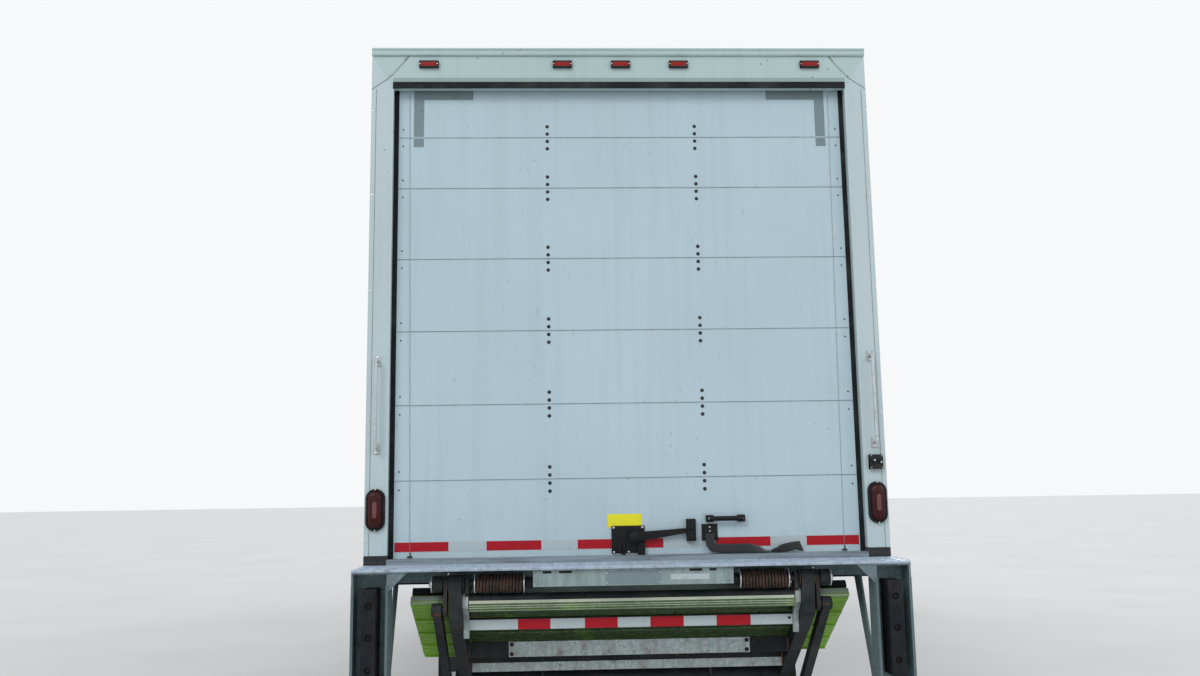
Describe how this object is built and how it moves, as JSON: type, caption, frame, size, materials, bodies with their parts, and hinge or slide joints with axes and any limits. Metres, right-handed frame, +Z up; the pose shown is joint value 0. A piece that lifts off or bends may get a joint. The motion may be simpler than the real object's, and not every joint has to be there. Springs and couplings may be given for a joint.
{
  "type": "box truck",
  "caption": "Box truck with a hollow cab and load box, a roll-up rear door, a tuck-under liftgate, steered front wheels, hinged cab doors and a tilting hood.",
  "frame": {"origin": "on the ground under the middle of the whole truck, with the mirrors and dock legs counted", "axes": "+Y points to the front of the truck, +X to its right side, +Z up"},
  "size_m": [2.88, 11.08, 3.887],
  "materials": {
    "chassis_black": "satin black frame paint with road dust",
    "body_white": "semi-gloss pale blue-grey white, rust dots at welds",
    "door_white": "semi-gloss white door paint with streaks",
    "cab_white": "gloss white cab paint",
    "wheel_white": "gloss white wheel paint with brake dust",
    "deck_wood": "laminated hardwood planks, worn",
    "aluminium_sheet": "plain weathered aluminium",
    "galvanised": "galvanised steel, dull spangle",
    "black_steel": "black paint, chipped to rust at edges",
    "rusty_steel": "brown rust on bare steel",
    "engine_iron": "oily cast iron",
    "chrome_rod": "polished hard chrome",
    "bumper_chrome": "bright plated steel",
    "grille_grey": "dark grey plastic",
    "black_plastic": "grained black plastic",
    "trim_grey": "grained dark grey plastic",
    "seat_vinyl": "grey woven seat cloth",
    "webbing": "black woven webbing",
    "lamp_red": "moulded red lens",
    "lamp_clear": "clear lens",
    "clear_glass": "lightly tinted safety glass",
    "black_rubber": "dull moulded rubber",
    "tyre_black": "road tyre rubber, dusty"
  },
  "bodies": {
    "truck": {"frame_rails": "chassis_black", "mudflaps": "black_rubber", "long_sills": "chassis_black", "floor_crossmembers": "chassis_black", "body_floor": "deck_wood", "side_walls": "body_white", "front_wall": "body_white", "roof": "aluminium_sheet", "rear_posts": "body_white", "rear_header": "body_white", "rear_sill": "chassis_black", "door_panels": "door_white", "door_seals": "black_rubber", "door_latch": "black_steel", "pull_strap": "webbing", "rear_lamps_and_switch": "lamp_red", "grab_handles": "galvanised", "dock_plate": "galvanised", "dock_bumpers": "black_rubber", "liftgate_frame": "black_steel", "battery_and_pump_boxes": "black_plastic", "leaf_springs": "rusty_steel", "axles": "chassis_black", "engine": "engine_iron", "driveshaft": "rusty_steel", "fuel_tank": "aluminium_sheet", "exhaust": "rusty_steel", "front_bumper": "bumper_chrome", "dashboard": "trim_grey", "seats": "seat_vinyl", "cab_shell": "cab_white", "cab_glass": "clear_glass"},
    "lift_arms": {"lift_arms": "black_steel", "platform": "aluminium_sheet", "torsion_springs": "rusty_steel"},
    "parallel_links": {"parallel_links": "black_steel"},
    "shackles": {"shackles": "black_steel"},
    "lift_barrels": {"lift_barrels": "black_steel"},
    "lift_rods": {"lift_rods": "chrome_rod"},
    "hood": {"hood": "cab_white", "grille": "grille_grey", "headlamps": "lamp_clear"},
    "door_right": {"door_right": "cab_white", "door_glass_right": "clear_glass"},
    "door_left": {"door_left": "cab_white", "door_glass_left": "clear_glass"},
    "knuckle_left": {"knuckle_left": "chassis_black"},
    "knuckle_right": {"knuckle_right": "chassis_black"},
    "tie_rod": {"tie_rod": "chassis_black"},
    "wheel_front_left": {"tyre_front_left": "tyre_black", "rim_front_left": "wheel_white"},
    "wheel_front_right": {"tyre_front_right": "tyre_black", "rim_front_right": "wheel_white"},
    "wheels_rear_left": {"tyres_rear_left": "tyre_black", "rims_rear_left": "wheel_white"},
    "wheels_rear_right": {"tyres_rear_right": "tyre_black", "rims_rear_right": "wheel_white"}
  },
  "joints": [
    {"name": "lift_arms_hinge", "type": "hinge", "parent": "truck", "child": "lift_arms", "pos_m": [0, -4.765, 0.62], "axis": [1, 0, 0], "range_deg": [0, 72]},
    {"name": "parallel_links_hinge", "type": "hinge", "parent": "truck", "child": "parallel_links", "pos_m": [0, -4.775, 0.5], "axis": [1, 0, 0], "range_deg": [0, 72]},
    {"name": "shackles_hinge", "type": "hinge", "parent": "lift_arms", "child": "shackles", "pos_m": [0, -5.4, 1.166], "axis": [1, 0, 0], "range_deg": [-72, 0]},
    {"name": "lift_barrels_hinge", "type": "hinge", "parent": "truck", "child": "lift_barrels", "pos_m": [0, -4.145, 0.53], "axis": [1, 0, 0], "range_deg": [-1.56, 0.3]},
    {"name": "lift_rods_slide", "type": "slide", "parent": "lift_barrels", "child": "lift_rods", "axis": [0, -0.9998, -0.0205], "range_m": [-0.142, 0.001]},
    {"name": "hood_hinge", "type": "hinge", "parent": "truck", "child": "hood", "pos_m": [0, 5.4, 0.735], "axis": [-1, 0, 0], "range_deg": [0, 65]},
    {"name": "door_right_hinge", "type": "hinge", "parent": "truck", "child": "door_right", "pos_m": [1.036, 4.127, 1.8], "axis": [0, 0, 1], "range_deg": [0, 70]},
    {"name": "door_left_hinge", "type": "hinge", "parent": "truck", "child": "door_left", "pos_m": [-1.036, 4.127, 1.8], "axis": [0, 0, -1], "range_deg": [0, 70]},
    {"name": "steer_left", "type": "hinge", "parent": "truck", "child": "knuckle_left", "pos_m": [-0.87, 4.54, 0.525], "axis": [0, 0, 1], "range_deg": [-35, 35]},
    {"name": "steer_right", "type": "hinge", "parent": "truck", "child": "knuckle_right", "pos_m": [0.87, 4.54, 0.525], "axis": [0, 0, 1], "range_deg": [-35, 35]},
    {"name": "tie_rod_pivot", "type": "hinge", "parent": "knuckle_left", "child": "tie_rod", "pos_m": [-0.87, 4.33, 0.412], "axis": [0, 0, 1], "range_deg": [-35, 35]},
    {"name": "spin_front_left", "type": "hinge", "parent": "knuckle_left", "child": "wheel_front_left", "pos_m": [-1.02, 4.54, 0.525], "axis": [1, 0, 0], "continuous": true},
    {"name": "spin_front_right", "type": "hinge", "parent": "knuckle_right", "child": "wheel_front_right", "pos_m": [1.02, 4.54, 0.525], "axis": [1, 0, 0], "continuous": true},
    {"name": "spin_rear_left", "type": "hinge", "parent": "truck", "child": "wheels_rear_left", "pos_m": [-0.915, -2.11, 0.525], "axis": [1, 0, 0], "continuous": true},
    {"name": "spin_rear_right", "type": "hinge", "parent": "truck", "child": "wheels_rear_right", "pos_m": [0.915, -2.11, 0.525], "axis": [1, 0, 0], "continuous": true}
  ],
  "couplings": [
    {"joint": "parallel_links_hinge", "follows": "lift_arms_hinge", "ratio": 1},
    {"joint": "shackles_hinge", "follows": "lift_arms_hinge", "ratio": -1},
    {"joint": "lift_barrels_hinge", "follows": "lift_arms_hinge", "ratio": -0.0175},
    {"joint": "lift_rods_slide", "follows": "lift_arms_hinge", "m_per_rad": -0.11176},
    {"joint": "steer_right", "follows": "steer_left", "ratio": 1},
    {"joint": "tie_rod_pivot", "follows": "steer_left", "ratio": -1}
  ]
}
